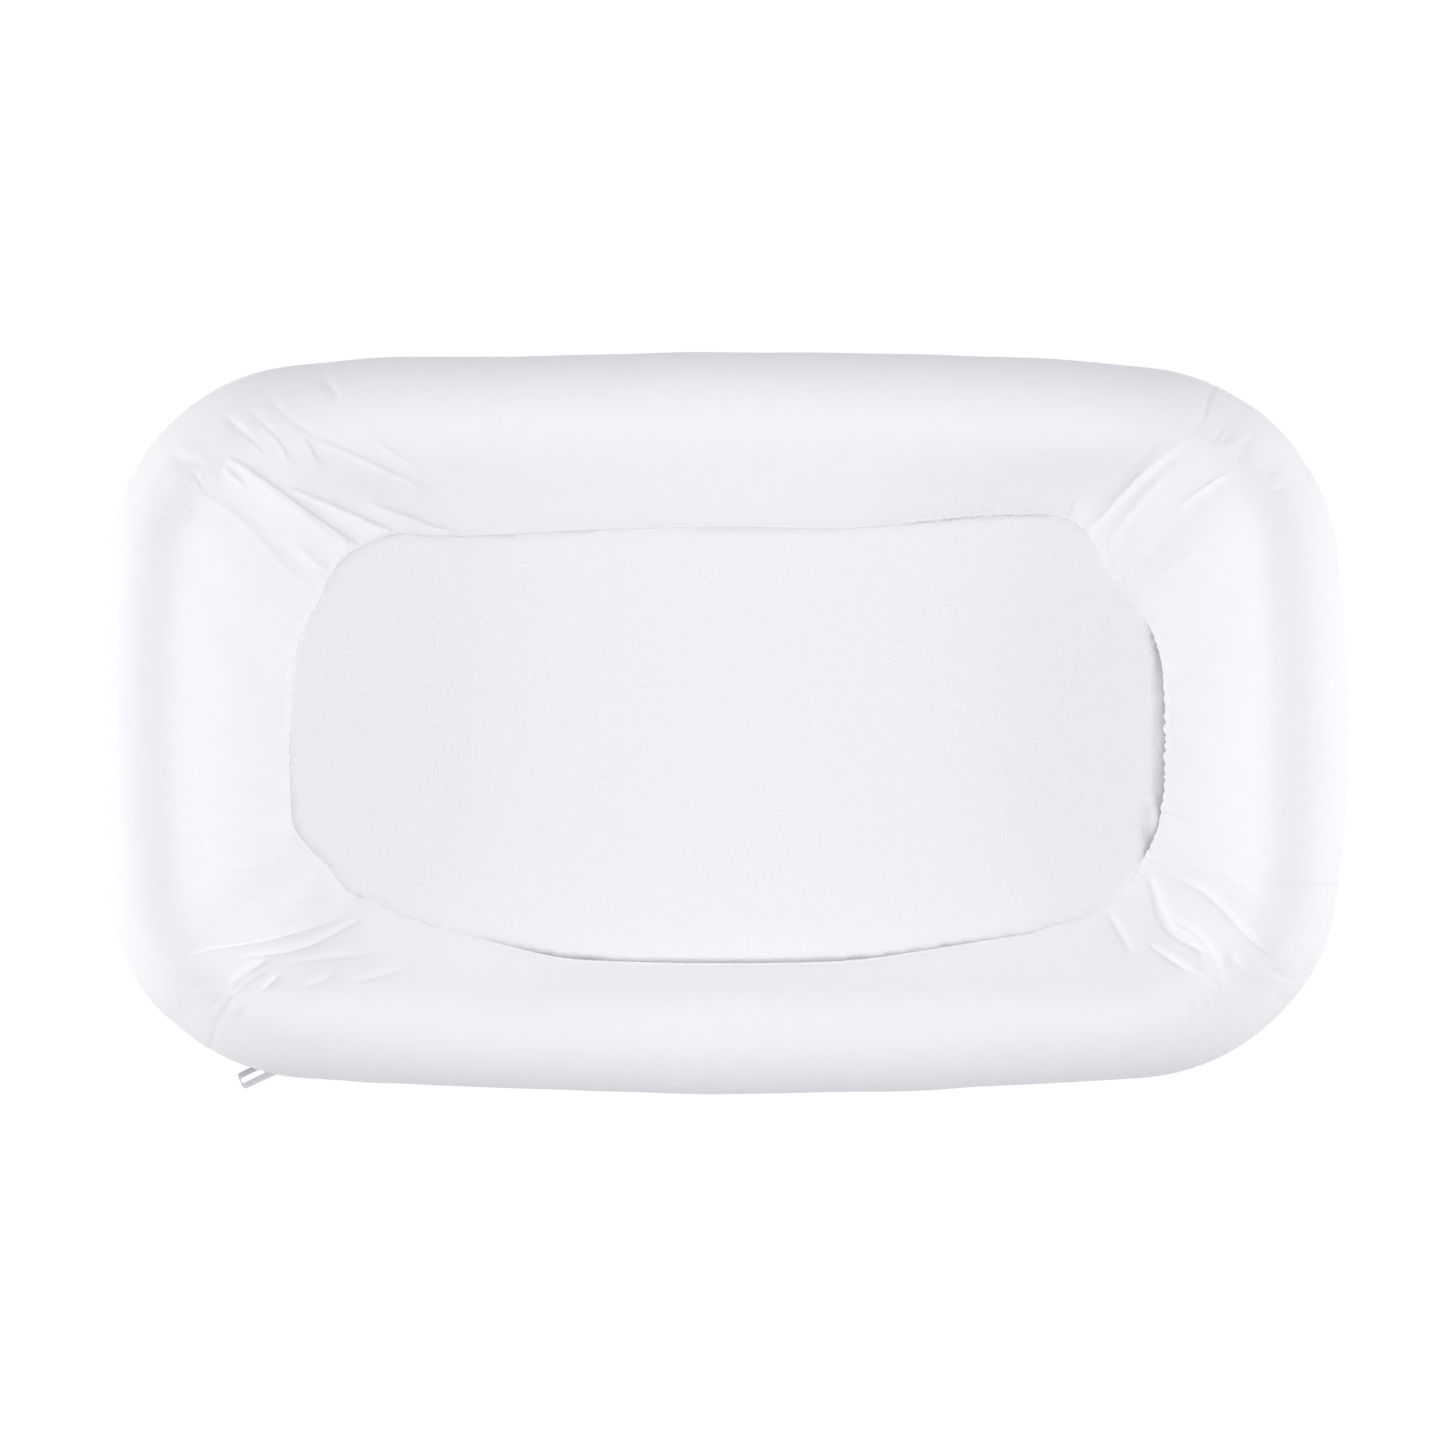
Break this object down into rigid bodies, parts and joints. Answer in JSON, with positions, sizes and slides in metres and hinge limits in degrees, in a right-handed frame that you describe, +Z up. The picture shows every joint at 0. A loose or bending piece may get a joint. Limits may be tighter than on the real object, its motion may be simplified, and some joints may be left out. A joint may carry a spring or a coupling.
{
  "type": "changing pad",
  "caption": "Rectangular baby changing pad with a rounded foam rim on all sides, a fitted cover with an elastic oval opening, and a padded insert in the recess.",
  "frame": {"origin": "centre of the underside, on the ground", "axes": "+X along the pad's length to its right end, +Y to the back long side, +Z up"},
  "size_m": [0.7498, 0.446, 0.0999],
  "materials": {
    "jersey": "matte white cotton jersey",
    "terry": "matte white terry knit",
    "base_cloth": "matte woven bottom cloth with grip dots",
    "casing_vinyl": "smooth wipe-clean sheet",
    "foam": "open-cell upholstery foam",
    "wadding": "soft polyester wadding",
    "backing_cloth": "coated woven underside",
    "elastic": "woven elastic band",
    "thread": "polyester sewing thread",
    "ribbon": "satin ribbon, blank"
  },
  "bodies": {
    "pad": {"base_panel": "base_cloth", "base_seam_stitching": "thread", "core_foam": "foam", "front_bumper_foam": "foam", "back_bumper_foam": "foam", "left_bumper_foam": "foam", "right_bumper_foam": "foam", "corner_foam_front_left": "foam", "corner_foam_front_right": "foam", "corner_foam_back_left": "foam", "corner_foam_back_right": "foam", "waterproof_casing": "casing_vinyl", "fitted_cover": "jersey", "cover_skirt": "jersey", "dart_front_left": "jersey", "dart_front_right": "jersey", "dart_back_left": "jersey", "dart_back_right": "jersey", "hem_casing": "jersey", "hem_elastic": "elastic", "hem_stitching": "thread", "insert_backing": "backing_cloth", "insert_wadding": "wadding", "insert_top": "terry", "label_stitching": "thread"},
    "label": {"care_label": "ribbon"}
  },
  "joints": [
    {"name": "label_flip", "type": "hinge", "parent": "pad", "child": "label", "pos_m": [-0.26447, -0.20522, 0.0006], "axis": [-0.9848, 0.1736, 0], "range_deg": [0, 30]}
  ]
}
